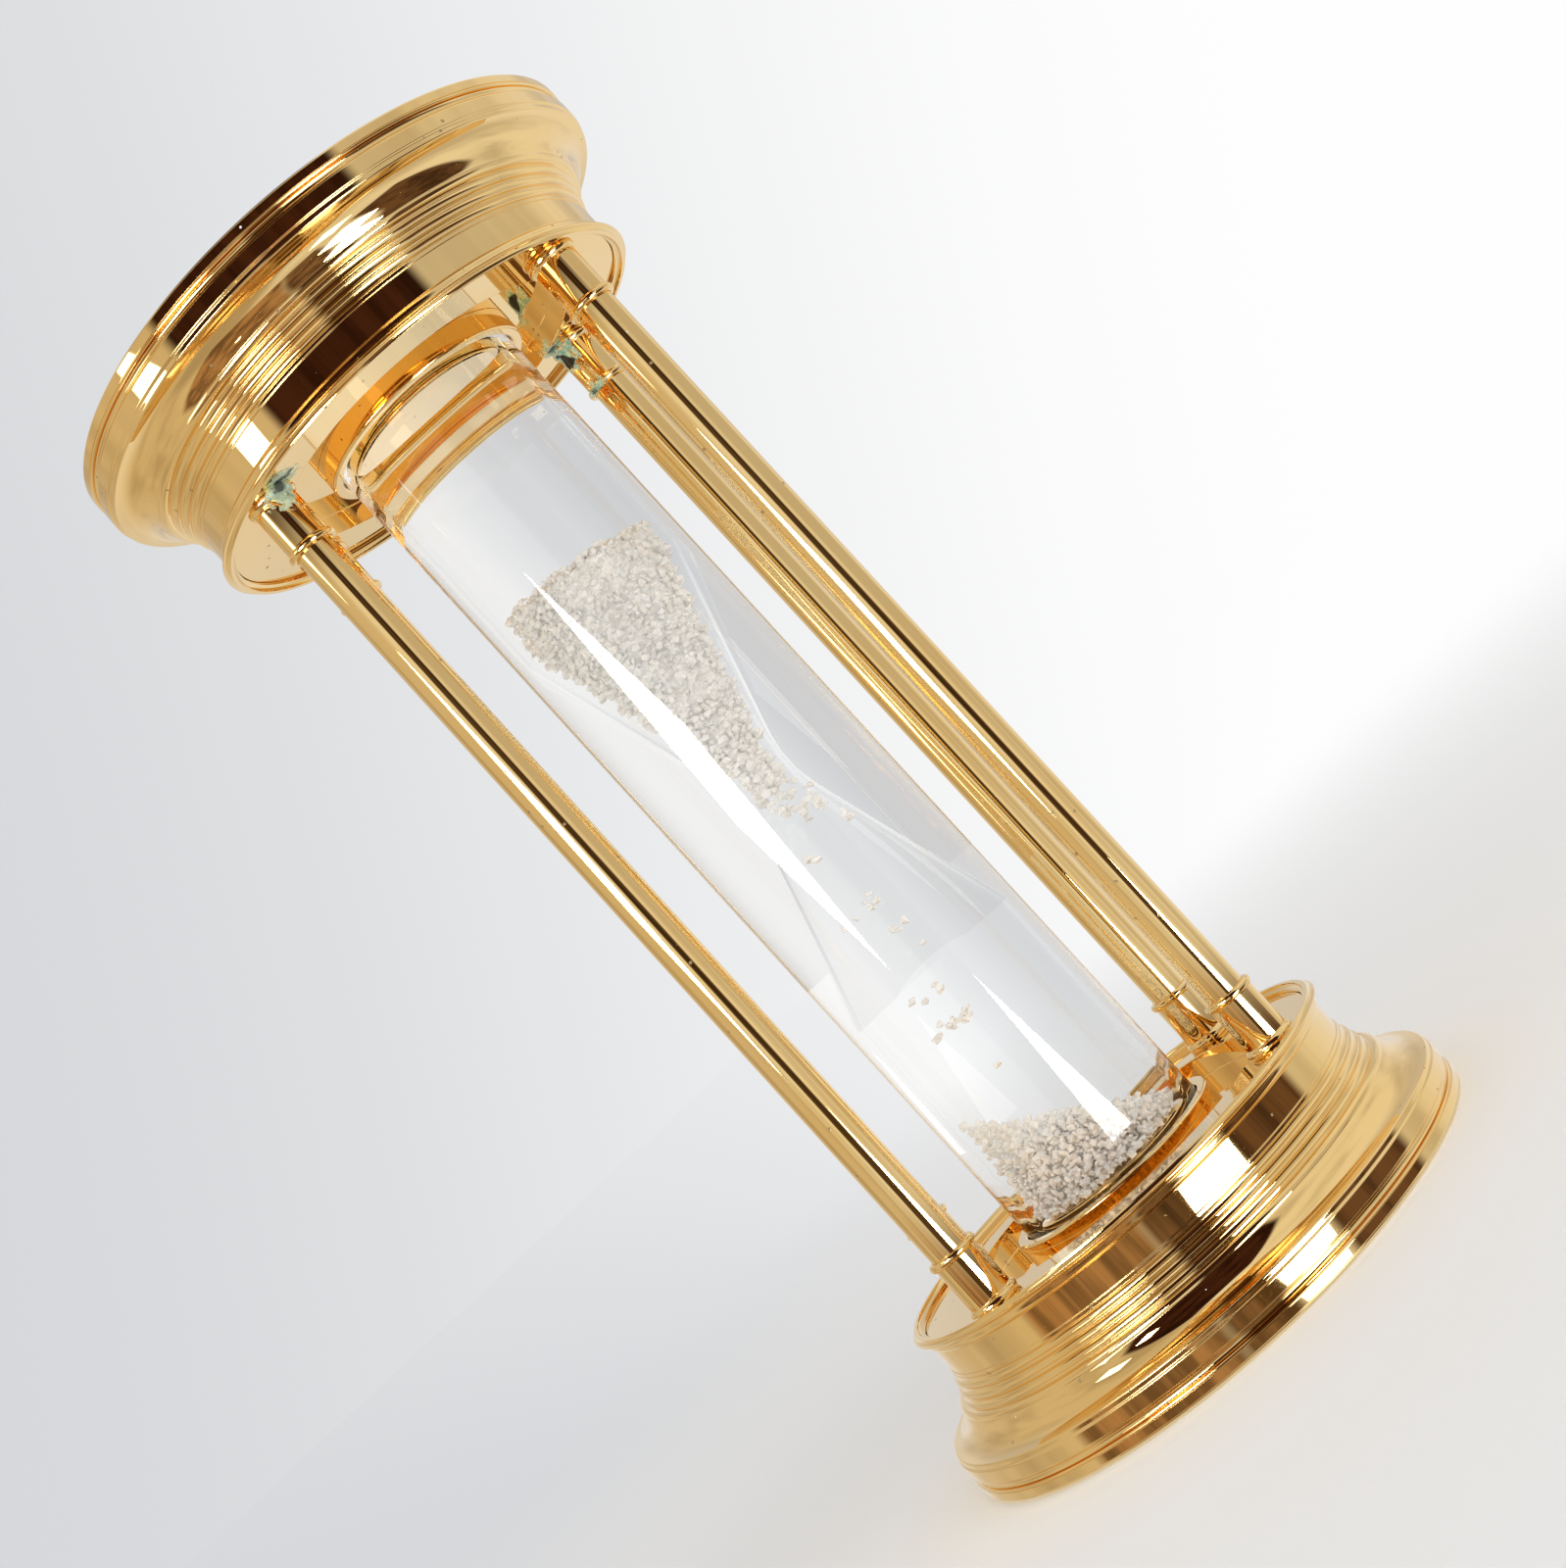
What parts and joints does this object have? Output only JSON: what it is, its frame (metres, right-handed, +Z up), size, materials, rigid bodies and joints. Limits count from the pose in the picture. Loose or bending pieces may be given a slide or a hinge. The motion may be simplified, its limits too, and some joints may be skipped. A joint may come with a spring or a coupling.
{
  "type": "hourglass",
  "caption": "Decorative hourglass: straight thick glass with a double-cone chamber of clear crystals between two turned caps joined by pillars.",
  "frame": {"origin": "centre of the lower felt pad, on the surface that the hourglass stands on", "axes": "+Z up along the hourglass axis; +X along the wide side of the pillar rectangle; -Y is the front"},
  "size_m": [0.082, 0.082, 0.1746],
  "materials": {
    "cap_gold": "polished gold plate",
    "end_plate_gold": "polished gold plate",
    "pillar_plate_gold": "mirror-polished gold plate",
    "seat_gold": "mirror-polished gold plate",
    "pillar_gold": "polished gold plate with fine lengthwise scratches",
    "ferrule_gold": "polished gold plate, verdigris in places",
    "screw_steel": "zinc-plated steel",
    "felt": "dense wool felt",
    "seal": "matt silicone",
    "glass": "clear, flame-polished",
    "crystal": "clear broken chips"
  },
  "bodies": {
    "root": {"lower_cap_shell": "cap_gold", "lower_end_plate": "end_plate_gold", "lower_end_plate_screws": "screw_steel", "lower_felt_pad": "felt", "lower_pillar_plate": "pillar_plate_gold", "lower_glass_seat": "seat_gold", "lower_seal_ring": "seal", "lower_seat_screw": "screw_steel", "lower_seat_washer": "screw_steel", "lower_pillar_screws": "screw_steel", "lower_pillar_washers": "screw_steel", "lower_ferrule_front_left": "ferrule_gold", "lower_ferrule_front_right": "ferrule_gold", "lower_ferrule_back_right": "ferrule_gold", "lower_ferrule_back_left": "ferrule_gold", "upper_cap_shell": "cap_gold", "upper_end_plate": "end_plate_gold", "upper_end_plate_screws": "screw_steel", "upper_felt_pad": "felt", "upper_pillar_plate": "pillar_plate_gold", "upper_glass_seat": "seat_gold", "upper_seal_ring": "seal", "upper_seat_screw": "screw_steel", "upper_seat_washer": "screw_steel", "upper_pillar_screws": "screw_steel", "upper_pillar_washers": "screw_steel", "upper_ferrule_front_left": "ferrule_gold", "upper_ferrule_front_right": "ferrule_gold", "upper_ferrule_back_right": "ferrule_gold", "upper_ferrule_back_left": "ferrule_gold", "pillar_front_left": "pillar_gold", "pillar_front_right": "pillar_gold", "pillar_back_right": "pillar_gold", "pillar_back_left": "pillar_gold", "glass_body": "glass", "upper_crystals": "crystal", "crystal_stream": "crystal", "lower_crystals": "crystal"}
  },
  "joints": []
}
